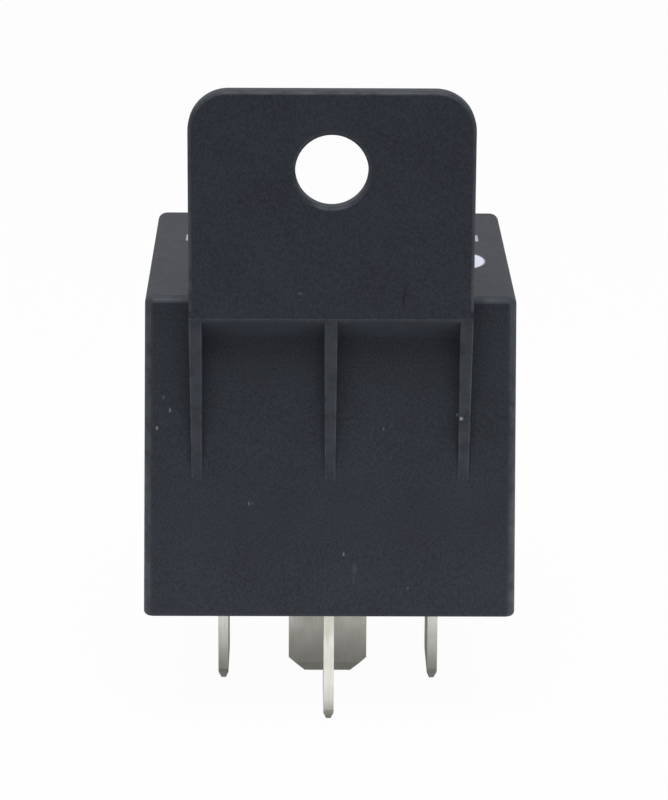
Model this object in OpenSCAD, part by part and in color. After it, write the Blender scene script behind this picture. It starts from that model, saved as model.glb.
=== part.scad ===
// Changeover relay for a vehicle: five blade terminals under a moulded cover, which carries
// its own mounting bracket. X runs across the bracket, -Y out of its face and +Z up, away
// from the terminals. The origin is the middle of the cover's open rim. Millimetres.

/* [Cover] */
// Width and depth of the cover at its open rim
cover_w = 28.5; // [28:0.1:36]
// How far each side leans in between the rim and the top
cover_draft = 0.3; // [0:0.05:0.5]
// Height of the cover
cover_h = 25.3; // [25.2:0.1:34]
// Thickness of the side walls at the top
wall_t = 1.3; // [0.9:0.05:1.5]
// Thickness of the roof
roof_t = 1.3; // [0.8:0.05:1.4]
// Radius of the four upright corners
corner_r = 0.8; // [0.6:0.05:2]
// Radius round the edges of the top
top_r = 0.6; // [0.2:0.05:0.6]
// Radius round the outside of the open rim
rim_r = 0.3; // [0.1:0.05:0.5]

/* [Bracket] */
// Width of the bracket's tab
tab_w = 21.2; // [14:0.1:27]
// Height of the tab's top above the rim
tab_top = 41.5; // [38:0.1:52]
// Thickness of the tab
tab_t = 1.6; // [1:0.1:2.2]
// How far the tab's face stands in front of the cover
tab_offset = 2.6; // [2.4:0.1:5]
// Radius of the tab's two upper corners
tab_corner_r = 3; // [1:0.1:6]
// Radius round the tab's edges
tab_edge_r = 0.35; // [0.1:0.05:0.45]
// Diameter of the screw hole
hole_d = 5.4; // [3:0.1:8]
// Height of the screw hole above the rim
hole_z = 35.5; // [31:0.1:37]
// Thickness of the shelf at its outer edge
shelf_edge_t = 0.7; // [0.6:0.1:1.5]
// Thickness of the shelf where it leaves the cover
shelf_root_t = 2.6; // [1.2:0.1:4]
// How far the shelf's top lies below the cover's top
shelf_drop = 0.45; // [0.3:0.05:0.9]
// Thickness of a gusset rib at the shelf
rib_t = 1; // [0.6:0.05:1.6]
// Thickness of a gusset rib at its foot
rib_foot_t = 0.85; // [0.5:0.05:1.4]
// Height of the ribs' feet above the rim
rib_foot_z = 11; // [6:0.1:18]

/* [Base] */
// How far the base lies inside the rim
base_recess = 1.2; // [0.9:0.1:2]
// Thickness of the base's flange
flange_t = 1.5; // [1:0.1:2]
// Thickness of the plug above the flange
plug_t = 1.5; // [1.4:0.1:2]
// Width of the ledge that the flange stops against
ledge_w = 0.35; // [0.2:0.05:0.5]
// Height of the raised collar round each blade
collar_h = 0.4; // [0.2:0.05:0.6]
// Wall of the raised collar round each blade
collar_t = 0.7; // [0.4:0.05:0.9]

/* [Terminals] */
// Width of a blade
blade_w = 6.3; // [4.8:0.1:6.6]
// Thickness of a blade
blade_t = 0.8; // [0.6:0.05:1]
// How far a blade stands out below the rim
blade_out = 9.8; // [7:0.1:12]
// Height of the cut corners at a blade's tip
tip_len = 1.2; // [0.8:0.1:2]
// How far each corner of the tip is cut back
tip_cut = 1.3; // [0.6:0.1:2]
// Length over which the tip thins
taper_len = 0.75; // [0.4:0.05:1.2]
// Thickness left at the end of the tip
tip_t = 0.36; // [0.2:0.02:0.5]
// Half the distance between the two coil terminals
coil_terminal_x = 8.4; // [8.3:0.1:8.8]
// Position of the coil terminals and of the middle terminal
middle_y = 0.5; // [0.4:0.1:0.7]
// Distance from the middle terminal to the front terminal
front_pitch = 9; // [8.8:0.1:9.2]
// Distance from the middle terminal to the rear terminal
rear_pitch = 8; // [7.8:0.1:8.2]

/* [Magnet] */
// Position of the coil's axis
coil_y = -1.5; // [-1.6:0.1:-1.4]
// Diameter of the core
core_d = 6; // [4:0.1:6.4]
// Diameter of the pole head
pole_d = 9; // [7:0.1:11]
// Thickness of the pole head
pole_t = 1.2; // [0.8:0.1:1.6]
// Outer diameter of the winding
winding_d = 12.3; // [9.5:0.1:12.6]
// Diameter of the rounds that the winding's outer layer shows
wire_pitch = 0.5; // [0.4:0.05:0.8]
// Width of the bobbin's flanges
bobbin_w = 15.2; // [13:0.1:15.4]
// Depth of the bobbin's flanges
bobbin_depth = 12.8; // [12.7:0.1:13]
// Height of the bobbin
bobbin_h = 9.8; // [8:0.1:10]
// Thickness of the bobbin's flanges
bobbin_flange_t = 0.8; // [0.6:0.05:1.2]
// Wall of the bobbin's tube
bobbin_wall = 0.7; // [0.5:0.05:0.9]
// Thickness of the yoke
yoke_t = 1.6; // [1.2:0.1:1.6]
// Width of the yoke
yoke_w = 12; // [11.6:0.1:13]
// Height of the base's posts under the yoke
post_h = 1.4; // [1.2:0.1:1.5]

/* [Contacts] */
// Thickness of the armature
armature_t = 1.5; // [1:0.1:1.5]
// Width of the armature
armature_w = 10; // [8:0.1:10.1]
// Angle by which the armature stands open
open_angle = 3; // [2:0.1:3.2]
// Thickness of the contact spring
leaf_t = 0.3; // [0.2:0.05:0.35]
// Width of the contact spring
leaf_w = 5.2; // [4:0.1:5.6]
// Diameter of the contact faces
contact_d = 3; // [2.4:0.1:3.2]
// Height of a fixed contact's head, and of the moving contact's lower head
contact_h = 0.9; // [0.6:0.05:1]
// Radius of a fixed contact's domed face
dome_r = 8; // [5:0.5:14]
// Position of the contacts
contact_y = 10.1; // [9.9:0.05:10.2]
// Wire of the return spring
spring_wire = 0.35; // [0.25:0.05:0.4]
// Outer diameter of the return spring
spring_d = 1.8; // [1.5:0.1:1.9]
// Number of turns of the return spring
spring_turns = 13; // [8:1:13]
// Diameter of the braid
braid_d = 1; // [0.7:0.1:1.1]

/* [Hidden] */
$fn = 48;
// Clearances: a loose fit, a pressed or riveted seat, and closed contacts or a closed gap
fit_gap = 0.05;
seat_gap = 0.02;
air_gap = 0.05;
// How far a cut reaches past what it cuts, and how far two shapes of one piece overlap
cut_over = 1;
join_over = 0.5;

cover_top_w = cover_w - 2 * cover_draft;
cavity_w = cover_top_w - 2 * wall_t;
cavity_r = 0.8;
face_y = -cover_top_w / 2;
tab_y = face_y - tab_offset;
shelf_top = cover_h - shelf_drop;
shelf_round = 0.6;
shelf_edge_z = shelf_top - shelf_edge_t;
rib_round = 0.15;
catch_w = 6;
catch_out = 0.4;
catch_gap = 0.1;
catch_z = 0.25;
catch_lip = 0.2;
catch_rise = 0.3;

base_z = base_recess;
plug_z = base_z + flange_t;
base_top = plug_z + plug_t;
flange_w = cavity_w + 2 * ledge_w;

front_y = middle_y - front_pitch;
rear_y = middle_y + rear_pitch;

bend_r = 0.4;
yoke_z = base_top + post_h;
bobbin_z = yoke_z + yoke_t;
pole_z = bobbin_z + bobbin_h;
hinge_z = pole_z + pole_t;
yoke_inner_y = coil_y - bobbin_depth / 2 - bend_r - fit_gap;
hinge_y = yoke_inner_y - yoke_t;
yoke_end_y = coil_y + 5;
ear_w = 0.9;
ear_h = 1.3;
stake_d = 1.4;
stake_x = 4.8;
stake_y = coil_y - 1.5;
post_d = 2;
front_post_y = front_y + 1.6;
rear_post_y = coil_y + 4;
pole_edge = 0.2;
tongue_w = 1.8;
tongue_y = front_y + blade_w / 2 - tongue_w / 2;

armature_z = hinge_z + air_gap;
leaf_z = armature_z + armature_t;
armature_end_y = coil_y + 7;
rivet_d = 1.5;
rivet_head_d = 2.6;
rivet_head_h = 0.5;
rivet_dome_r = 2;
rivet_foot = 0.2;
rivet_y = [coil_y - 2, coil_y + 4.4];
tail_t = 0.8;
tail_w = 3.2;
hook_slot = 0.6;
spring_y = hinge_y - 1.2;
hook_reach = 0.9;
hook_back = 0.45;
lug_t = 0.8;
lug_z = bobbin_z + 1.4;
upper_head_h = 0.6;
shank_d = 1.6;
shank_over = 0.1;
strip_w = 3;
strip_rim = 0.7;
strip_end = 0.3;
strip_x = 5.7;
strip_y = contact_y + 1.6;

// Where the lifted moving contact's upper face stands, and the fixed contact above it
lift_y = contact_y - hinge_y;
lift_z = leaf_z + leaf_t + upper_head_h - hinge_z;
lifted_face_z = hinge_z + lift_z * cos(open_angle) + lift_y * sin(open_angle);
lifted_face_y = hinge_y + lift_y * cos(open_angle) - lift_z * sin(open_angle);
dome_rise = dome_r / cos(open_angle) - dome_r;
upper_contact_z = lifted_face_z + (contact_y - lifted_face_y) * tan(open_angle)
    + dome_rise + air_gap;
lower_contact_z = leaf_z - contact_h - air_gap;
upper_strip_z = upper_contact_z + contact_h;
lower_strip_z = lower_contact_z - contact_h - blade_t;
foot_strip_z = base_top + 0.1;

resistor_d = 2.4;
resistor_waist_d = 2.1;
resistor_cap = 1.4;
resistor_len = 6.2;
resistor_y = rear_y - 2.5;
resistor_z = foot_strip_z + blade_t + resistor_d / 2 + 0.2;
resistor_lead_d = 0.55;
post_top = bobbin_z + 3.4;
coil_post_w = 2;
waist_cut = 0.3;
waist_w = coil_post_w - 2 * waist_cut;
waist_h = 0.8;
collar_z = post_top - 1.3;
solder_x = 0.35;
solder_y = 0.25;
solder_h = 0.6;
lead_d = 0.3;

plastic = "#3b3f45";
dark_plastic = "#2e3135";
tin = "#c8c6bf";
steel = "#a3a39e";
nylon = "#d9d4c3";
copper = "#a4552b";
silver = "#dddcd6";
bronze = "#c09a5e";

// ---- Shapes and helpers ----

// A rectangle with round corners
module rounded_rect(w, d, r) {
    square([w - 2 * r, d], center = true);
    square([w, d - 2 * r], center = true);
    for (x = [-1, 1], y = [-1, 1])
        translate([x * (w / 2 - r), y * (d / 2 - r)]) circle(r);
}

// An upright plate or block, centred in plan, with its foot at z
module block(w, d, z0, z1, r) {
    translate([0, 0, z0]) linear_extrude(z1 - z0) rounded_rect(w, d, r);
}

// A 2-D angle bent from strip: it climbs from height z0 to a top face at z1, round a bend,
// and reaches out to y = reach. Its lower leg stands between y = 0 and y = t.
module bent_angle(t, z0, z1, reach, r) {
    translate([0, z0]) square([t, z1 - z0 - t - r]);
    translate([t + r, z1 - t]) square([reach - t - r, t]);
    translate([t + r, z1 - t - r]) intersection() {
        difference() {
            circle(t + r);
            circle(r);
        }
        translate([-t - r, 0]) square(t + r);
    }
}

// Turns a 2-D side view, drawn as (y, z), into a solid of width w across X
module side_profile(w) {
    rotate([90, 0, 90]) linear_extrude(w, center = true) children();
}

// Turns a 2-D front view, drawn as (x, z), into a solid of depth d across Y
module front_profile(d) {
    rotate([90, 0, 0]) linear_extrude(d, center = true) children();
}

// Turns a piece from the closed, flat position to where the open armature holds it
module lifted() {
    translate([0, hinge_y, hinge_z]) rotate([open_angle, 0, 0])
        translate([0, -hinge_y, -hinge_z]) children();
}

function lift(p) = [
    p.x,
    hinge_y + (p.y - hinge_y) * cos(open_angle) - (p.z - hinge_z) * sin(open_angle),
    hinge_z + (p.y - hinge_y) * sin(open_angle) + (p.z - hinge_z) * cos(open_angle)
];

function unit(v) = v / norm(v);
function tangent(path, i) = unit(path[min(i + 1, len(path) - 1)] - path[max(i - 1, 0)]);
function squared_to(n, t) = unit(n - (n * t) * t);

// One normal for each point of a path, carried along it without twist
function normals(path) = [
    for (i = 0, n = squared_to([0.9, 0.3, 0.2], tangent(path, 0)); i < len(path);
        n = squared_to(n, tangent(path, min(i + 1, len(path) - 1))), i = i + 1) n
];

// A Catmull-Rom curve through the points of a path, with a number of steps to each span
function through(path, steps) = concat([
    for (i = [0 : len(path) - 2], s = [0 : steps - 1])
        let (
            a = path[max(i - 1, 0)], b = path[i], c = path[i + 1],
            d = path[min(i + 2, len(path) - 1)], u = s / steps
        )
        (2 * b + (c - a) * u + (2 * a - 5 * b + 4 * c - d) * u * u
            + (3 * b - a - 3 * c + d) * u * u * u) / 2
], [path[len(path) - 1]]);

// A round wire swept along a path of points
module wire(path, d, sides) {
    n = normals(path);
    last = len(path) - 1;
    points = [
        for (i = [0 : last], k = [0 : sides - 1])
            let (t = tangent(path, i), a = 360 * k / sides)
            path[i] + d / 2 * (cos(a) * n[i] + sin(a) * cross(t, n[i]))
    ];
    walls = [
        for (i = [0 : last - 1], k = [0 : sides - 1])
            let (a = i * sides + k, b = i * sides + (k + 1) % sides)
            each [[a, a + sides, b + sides], [a, b + sides, b]]
    ];
    ends = [
        [for (k = [0 : sides - 1]) k],
        [for (k = [sides - 1 : -1 : 0]) last * sides + k]
    ];
    polyhedron(points, concat(walls, ends));
}

// ---- Cover with its bracket, one moulding ----

// A quarter of an edge round, as points that run from the outside to the top
function round_over(r, edge_r, z) = [
    for (a = [0 : 15 : 90]) [r - edge_r + edge_r * cos(a), z + edge_r * sin(a)]
];

module corner_foot() {
    rotate_extrude($fn = 32) polygon(concat(
        [[0, rim_r], [0, 0], [corner_r - rim_r, 0]],
        [for (a = [-60 : 30 : 0]) [corner_r - rim_r + rim_r * cos(a), rim_r + rim_r * sin(a)]]
    ));
}

module corner_head() {
    rotate_extrude($fn = 32) polygon(concat([[0, 0]], round_over(corner_r, top_r, 0), [[0, top_r]]));
}

module cover_block() {
    foot = cover_w / 2 - corner_r;
    head = cover_top_w / 2 - corner_r;
    hull() for (x = [-1, 1], y = [-1, 1]) {
        translate([x * foot, y * foot, 0]) corner_foot();
        translate([x * head, y * head, cover_h - top_r]) corner_head();
    }
}

// The upright tab: two round-edged discs at the upper corners, drawn down to the shelf
module tab_plate() {
    edge = tab_edge_r;
    disc = concat([[0, 0], [tab_corner_r - edge, 0]],
        [for (a = [-75 : 15 : 75]) [
            tab_corner_r - edge + edge * cos(a),
            a < 0 ? edge + edge * sin(a) : tab_t - edge + edge * sin(a)
        ]],
        [[tab_corner_r - edge, tab_t], [0, tab_t]]);
    hull() {
        for (x = [-1, 1]) translate([x * (tab_w / 2 - tab_corner_r), tab_y + tab_t,
            tab_top - tab_corner_r]) rotate([90, 0, 0]) rotate_extrude($fn = 64) polygon(disc);
        for (x = [-1, 1], y = [edge, tab_t - edge])
            translate([x * (tab_w / 2 - edge), tab_y + y, shelf_top - join_over])
                cylinder(r = edge, h = 2 * join_over, $fn = 24);
    }
}

// The shelf that carries the tab: it is thin at the tab and thick at the cover, and its lower
// outer edge is round
module shelf() {
    r = shelf_round;
    lean = atan2(shelf_root_t - shelf_edge_t, tab_offset);
    round_z = shelf_edge_z + r * (1 - sin(lean)) / cos(lean);
    steps = 5;
    side_profile(tab_w) polygon(concat(
        [[face_y + cut_over, shelf_top], [tab_y, shelf_top]],
        [for (i = [0 : steps]) let (a = 180 + (90 - lean) * i / steps)
            [tab_y + r + r * cos(a), round_z + r * sin(a)]],
        [[face_y, shelf_top - shelf_root_t], [face_y + cut_over, shelf_top - shelf_root_t]]
    ));
}

// A gusset under the shelf: its front edge runs from the tab's face down to the cover
module gusset() {
    r = rib_round;
    top_z = shelf_top - shelf_edge_t / 2;
    foot_y = face_y - cover_draft * (1 - rib_foot_z / cover_h);
    hull() for (x = [-1, 1]) {
        translate([x * (rib_t / 2 - r), tab_y + r, top_z]) sphere(r, $fn = 16);
        translate([x * (rib_foot_t / 2 - r), foot_y + r, rib_foot_z]) sphere(r, $fn = 16);
        translate([x * (rib_t / 2 - r), face_y + join_over, top_z]) sphere(r, $fn = 16);
    }
}

// The ring that rounds the rim of a hole of radius r, cut from the face at z = 0 downwards
module rim_cutter(r, edge) {
    rotate_extrude() difference() {
        translate([r - edge, -edge]) square([2 * edge, edge + cut_over]);
        translate([r + edge, -edge]) circle(edge);
    }
}

module bracket_hole() {
    translate([0, tab_y, hole_z]) rotate([90, 0, 0]) {
        translate([0, 0, -tab_t - cut_over]) cylinder(d = hole_d, h = tab_t + 2 * cut_over);
        rim_cutter(hole_d / 2, tab_edge_r);
        translate([0, 0, -tab_t]) mirror([0, 0, 1]) rim_cutter(hole_d / 2, tab_edge_r);
    }
}

module cavity() {
    block(cavity_w, cavity_w, -cut_over, cover_h - roof_t, cavity_r);
    block(flange_w, flange_w, -cut_over, plug_z, cavity_r);
    for (x = [0, 1]) mirror([x, 0, 0]) catch(catch_w + 2 * catch_gap, catch_gap);
}

// The wedge that snaps the base into the cover, or its pocket where gap is more than 0
module catch(w, gap) {
    root_x = cavity_w / 2 - join_over;
    tip_x = cavity_w / 2 + catch_out + gap;
    foot_z = plug_z + catch_z - gap;
    front_profile(w) polygon([
        [root_x, foot_z], [tip_x, foot_z],
        [tip_x, plug_z + catch_z + catch_lip + gap], [root_x, base_top + catch_rise + gap]
    ]);
}

module cover() {
    color(plastic) difference() {
        union() {
            cover_block();
            tab_plate();
            shelf();
            for (x = [-1, 0, 1]) translate([x * (tab_w - rib_t) / 2, 0, 0]) gusset();
        }
        cavity();
        bracket_hole();
    }
}

// ---- Base ----

// Calls its children at each blade's place: turned for the three blades that lie along Y
module at_blades() {
    translate([0, middle_y, 0]) children();
    translate([0, rear_y, 0]) children();
    translate([0, front_y, 0]) rotate(90) children();
    for (x = [-1, 1]) translate([x * coil_terminal_x, middle_y, 0]) rotate(90) children();
}

posts = [
    [stake_x, stake_y], [-stake_x, stake_y],
    [stake_x, front_post_y], [-stake_x, front_post_y], [-stake_x, rear_post_y]
];

module base() {
    side = cavity_w - 2 * fit_gap;
    color(dark_plastic) difference() {
        union() {
            block(side + 2 * ledge_w, side + 2 * ledge_w, base_z, plug_z, cavity_r);
            block(side, side, plug_z - seat_gap, base_top, cavity_r);
            intersection() {
                for (x = [0, 1]) mirror([x, 0, 0]) catch(catch_w, 0);
                translate([0, 0, plug_z]) linear_extrude(plug_t) square(2 * cover_w, center = true);
            }
            at_blades() block(blade_w + 2 * collar_t, blade_t + 2 * collar_t,
                base_z - collar_h, base_z + seat_gap, collar_t);
            for (p = posts) translate([p.x, p.y, base_top - seat_gap])
                cylinder(d = post_d, h = post_h);
            for (p = [posts[0], posts[1]]) translate([p.x, p.y, base_top])
                cylinder(d = stake_d, h = post_h + yoke_t - seat_gap);
        }
        at_blades() translate([0, 0, cover_h / 2])
            cube([blade_w + 2 * seat_gap, blade_t + 2 * seat_gap, cover_h + 2 * cut_over],
                center = true);
    }
}

// ---- Terminals ----

// A blade in the XZ plane: it hangs from z = top down to its tapered tip
module blade(top) {
    w = blade_w / 2;
    t = blade_t / 2;
    intersection() {
        front_profile(2 * blade_t) polygon([
            [-w, top], [w, top], [w, tip_len - blade_out], [w - tip_cut, -blade_out],
            [tip_cut - w, -blade_out], [-w, tip_len - blade_out]
        ]);
        side_profile(2 * blade_w) polygon([
            [-t, top], [t, top], [t, taper_len - blade_out], [tip_t / 2, -blade_out],
            [-tip_t / 2, -blade_out], [-t, taper_len - blade_out]
        ]);
    }
}

// The common terminal: its tongue is staked into the yoke
module terminal_30() {
    color(tin) {
        translate([0, front_y, 0]) rotate(90) blade(base_top);
        translate([0, tongue_y, (base_top + bobbin_z) / 2])
            cube([blade_t, tongue_w, bobbin_z - base_top - 2 * seat_gap], center = true);
        translate([0, tongue_y, base_top])
            cube([blade_t, tongue_w, 2 * join_over], center = true);
    }
}

// A coil terminal: its upper end is a narrow post with a waist for the coil's lead
module coil_terminal(x) {
    foot_z = base_top - join_over;
    color(tin) translate([x, middle_y, 0]) {
        rotate(90) blade(base_top);
        side_profile(blade_t) difference() {
            translate([-coil_post_w / 2, foot_z]) square([coil_post_w, post_top - foot_z]);
            for (y = [-1, 1]) translate([y * coil_post_w / 2, collar_z])
                square([2 * waist_cut, waist_h], center = true);
        }
    }
}

module terminal_85() {
    coil_terminal(-coil_terminal_x);
}

module terminal_86() {
    coil_terminal(coil_terminal_x);
}

// The terminal of the contact that closes: it climbs behind the coil to carry it
module terminal_87() {
    color(tin) difference() {
        union() {
            translate([0, rear_y, 0]) blade(base_top);
            translate([0, rear_y - blade_t / 2, 0]) side_profile(contact_d + 2 * strip_rim)
                bent_angle(blade_t, base_top - join_over, lower_strip_z + blade_t,
                    contact_y + contact_d / 2 + strip_end - rear_y + blade_t / 2, bend_r);
        }
        translate([0, contact_y, lower_strip_z - cut_over])
            cylinder(d = shank_d + 2 * seat_gap, h = blade_t + 2 * cut_over);
    }
}

// The terminal of the contact that opens: it runs along the base, climbs beside the other
// one and turns back over the moving contact
module terminal_87a() {
    foot_x = strip_x - strip_w / 2;
    back_y = strip_y + blade_t / 2;
    bend_y = back_y - blade_t - bend_r;
    elbow = 1;
    foot_depth = 2;
    color(tin) difference() {
        union() {
            translate([0, middle_y, 0]) blade(foot_strip_z + blade_t);
            translate([0, 0, foot_strip_z]) linear_extrude(blade_t) polygon([
                [-blade_w / 2, middle_y - blade_t / 2],
                [strip_x, middle_y - blade_t / 2],
                [foot_x + strip_w, middle_y + elbow],
                [foot_x + strip_w, bend_y],
                [foot_x, bend_y],
                [foot_x, middle_y + foot_depth + elbow],
                [-blade_w / 2, middle_y + foot_depth]
            ]);
            translate([strip_x, back_y, foot_strip_z]) mirror([0, 1, 0]) {
                height = upper_strip_z + blade_t - foot_strip_z;
                side_profile(strip_w) bent_angle(blade_t, height / 2, height,
                    2 * blade_t + bend_r, bend_r);
                translate([0, 0, height]) mirror([0, 0, 1]) side_profile(strip_w)
                    bent_angle(blade_t, height / 2 - join_over, height,
                        2 * blade_t + bend_r, bend_r);
            }
            translate([0, 0, upper_strip_z]) linear_extrude(blade_t) polygon([
                [foot_x + strip_w, bend_y],
                [foot_x + strip_w, contact_y - contact_d / 2 - strip_end],
                [-contact_d / 2 - strip_end, contact_y - contact_d / 2 - strip_end],
                [-contact_d / 2 - strip_end, bend_y]
            ]);
        }
        translate([0, contact_y, upper_strip_z - cut_over])
            cylinder(d = shank_d + 2 * seat_gap, h = blade_t + 2 * cut_over);
    }
}

// ---- Magnet ----

// The yoke: an angle of soft iron whose upright leg carries the armature
module yoke() {
    color(steel) difference() {
        union() {
            translate([0, hinge_y, 0]) translate([0, 0, hinge_z + yoke_z]) mirror([0, 0, 1])
                side_profile(yoke_w) bent_angle(yoke_t, yoke_z, hinge_z,
                    yoke_end_y - hinge_y, bend_r);
            for (x = [-1, 1]) translate([x * (yoke_w - ear_w) / 2, hinge_y + yoke_t / 2, hinge_z])
                cube([ear_w, yoke_t, 2 * ear_h], center = true);
            translate([0, spring_y, lug_z + lug_t / 2])
                cube([tail_w, 2 * (hinge_y - spring_y), lug_t], center = true);
        }
        translate([0, coil_y, yoke_z - cut_over])
            cylinder(d = core_d + 2 * seat_gap, h = yoke_t + 2 * cut_over);
        translate([0, tongue_y, yoke_z + yoke_t / 2])
            cube([blade_t + 2 * fit_gap, tongue_w + 2 * fit_gap, 2 * yoke_t], center = true);
        for (x = [-1, 1]) translate([x * stake_x, stake_y, yoke_z - cut_over])
            cylinder(d = stake_d + 2 * fit_gap, h = yoke_t + 2 * cut_over);
        hook_notch(lug_z);
    }
}

// The notch that a hook of the return spring passes through
module hook_notch(z) {
    translate([0, spring_y - cut_over, z])
        cube([hook_slot, 2 * cut_over + 2 * hook_back, 4 * lug_t], center = true);
}

module core() {
    color(steel) translate([0, coil_y, 0]) {
        translate([0, 0, yoke_z]) cylinder(d = core_d, h = pole_z - yoke_z + seat_gap);
        difference() {
            translate([0, 0, pole_z]) cylinder(d = pole_d, h = pole_t);
            translate([0, 0, hinge_z]) rim_cutter(pole_d / 2, pole_edge);
        }
    }
}

module bobbin() {
    flange_r = 1;
    notch_depth = 0.6;
    notch_w = 0.8;
    color(nylon) translate([0, coil_y, 0]) difference() {
        union() {
            block(bobbin_w, bobbin_depth, bobbin_z, bobbin_z + bobbin_flange_t, flange_r);
            block(bobbin_w, bobbin_depth, pole_z - bobbin_flange_t, pole_z, flange_r);
            translate([0, 0, bobbin_z])
                cylinder(d = core_d + 2 * (seat_gap + bobbin_wall), h = bobbin_h);
        }
        translate([0, 0, bobbin_z - cut_over])
            cylinder(d = core_d + 2 * seat_gap, h = bobbin_h + 2 * cut_over);
        for (x = [-1, 1]) translate([x * bobbin_w / 2, middle_y - coil_y, bobbin_z])
            cube([2 * notch_depth, notch_w, 4 * bobbin_flange_t], center = true);
    }
}

// The winding, with the round backs of its outer layer of wire
module winding() {
    bottom = bobbin_z + bobbin_flange_t + seat_gap;
    height = bobbin_h - 2 * bobbin_flange_t - 2 * seat_gap;
    inner_r = core_d / 2 + bobbin_wall + 2 * seat_gap;
    turns = floor(height / wire_pitch);
    pitch = height / turns;
    color(copper) translate([0, coil_y, bottom]) rotate_extrude() {
        translate([inner_r, 0]) square([winding_d / 2 - pitch / 2 - inner_r, height]);
        for (i = [0 : turns - 1])
            translate([winding_d / 2 - pitch / 2, (i + 0.5) * pitch]) circle(pitch / 2, $fn = 24);
    }
}

// A lead of the coil: it leaves the winding and ends in a soldered collar round its post
module coil_lead(side) {
    x = side * coil_terminal_x;
    start_x = x - side * (blade_t / 2 + seat_gap + lead_d / 2);
    color(copper) {
        translate([x, middle_y, collar_z]) difference() {
            cube([blade_t + 2 * solder_x, waist_w + 2 * solder_y, solder_h], center = true);
            cube([blade_t + 2 * seat_gap, waist_w + 2 * seat_gap, 2 * solder_h], center = true);
        }
        wire(through([
            [start_x, middle_y, collar_z],
            [side * 7.3, middle_y - 0.3, collar_z - 0.2],
            [side * 6.5, middle_y - 1, bobbin_z + 2],
            [side * (winding_d / 2 + lead_d / 2 + 0.03), coil_y, bobbin_z + 1.4]
        ], 4), lead_d, 8);
    }
}

module coil_lead_start() {
    coil_lead(-1);
}

module coil_lead_finish() {
    coil_lead(1);
}

// The resistor across the coil, with its leads bent back to the two coil terminals
module resistor() {
    end_y = middle_y + coil_post_w / 2 + seat_gap;
    r = resistor_lead_d / 2;
    color("#6f9db5") translate([0, resistor_y, resistor_z]) rotate([0, 90, 0]) {
        cylinder(d = resistor_waist_d, h = resistor_len, center = true);
        for (z = [-1, 1]) translate([0, 0, z * (resistor_len - resistor_cap) / 2])
            cylinder(d = resistor_d, h = resistor_cap, center = true);
    }
    color(tin) for (x = [-1, 1]) {
        translate([x * (resistor_len / 2 + coil_terminal_x) / 2, resistor_y, resistor_z])
            rotate([0, 90, 0])
            cylinder(r = r, h = coil_terminal_x - resistor_len / 2 + r, center = true);
        translate([x * coil_terminal_x, resistor_y, resistor_z]) sphere(r + seat_gap);
        translate([x * coil_terminal_x, resistor_y, resistor_z]) rotate([90, 0, 0])
            cylinder(r = r, h = resistor_y - end_y);
    }
}

// ---- Contacts ----

// A contact rivet: a head from z = 0 to its domed face, and a shank back through the strip
module fixed_contact() {
    color(silver) {
        intersection() {
            cylinder(d = contact_d, h = contact_h);
            translate([0, 0, contact_h - dome_r]) sphere(dome_r, $fn = 96);
        }
        translate([0, 0, -blade_t]) cylinder(d = shank_d, h = blade_t + shank_over);
    }
}

module no_contact() {
    translate([0, contact_y, lower_strip_z + blade_t]) fixed_contact();
}

module nc_contact() {
    translate([0, contact_y, upper_strip_z]) mirror([0, 0, 1]) fixed_contact();
}

module armature() {
    w = armature_w / 2;
    front = armature_end_y;
    shoulder = 1;
    nose_w = w - 2.2;
    nose_len = 1.5;
    color(steel) lifted() difference() {
        union() {
            translate([0, 0, armature_z]) linear_extrude(armature_t) polygon([
                [-w, hinge_y], [w, hinge_y], [w, coil_y], [w - shoulder, front - nose_len],
                [nose_w, front], [-nose_w, front], [shoulder - w, front - nose_len], [-w, coil_y]
            ]);
            translate([-tail_w / 2, spring_y - hook_reach, armature_z])
                cube([tail_w, hinge_y - spring_y + hook_reach + join_over, tail_t]);
        }
        for (y = rivet_y) translate([0, y, armature_z - cut_over])
            cylinder(d = rivet_d + 2 * seat_gap, h = armature_t + 2 * cut_over);
        hook_notch(armature_z);
    }
}

// The leaf that carries the moving contact: it is slit so that its end can roll on closing
module contact_spring() {
    w = leaf_w / 2;
    end_r = contact_d / 2 + 0.5;
    back = rivet_y[0] - 2;
    slit_w = 0.6;
    slit_len = 1.8;
    color(bronze) lifted() translate([0, 0, leaf_z]) linear_extrude(leaf_t) difference() {
        union() {
            polygon([
                [-w, back], [w, back], [w, armature_end_y],
                [end_r, contact_y], [-end_r, contact_y], [-w, armature_end_y]
            ]);
            translate([0, contact_y]) circle(end_r);
        }
        for (y = rivet_y) translate([0, y]) circle(d = rivet_d + 2 * seat_gap);
        translate([0, contact_y]) circle(d = shank_d + 2 * seat_gap);
        translate([-slit_w / 2, armature_end_y + slit_w]) square([slit_w, slit_len]);
    }
}

module armature_rivets() {
    length = armature_t + leaf_t - rivet_foot;
    color(steel) lifted() for (y = rivet_y) translate([0, y, armature_z + rivet_foot]) {
        cylinder(d = rivet_d, h = length);
        translate([0, 0, length]) intersection() {
            cylinder(d = rivet_head_d, h = rivet_head_h);
            translate([0, 0, rivet_head_h - rivet_dome_r]) sphere(rivet_dome_r, $fn = 64);
        }
    }
}

module moving_contact() {
    color(silver) lifted() translate([0, contact_y, 0]) {
        translate([0, 0, leaf_z - contact_h]) cylinder(d = contact_d, h = contact_h);
        translate([0, 0, leaf_z - shank_over]) cylinder(d = shank_d, h = leaf_t + 2 * shank_over);
        translate([0, 0, leaf_z + leaf_t]) cylinder(d = contact_d, h = upper_head_h);
    }
}

// ---- Return spring and braid ----

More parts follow.
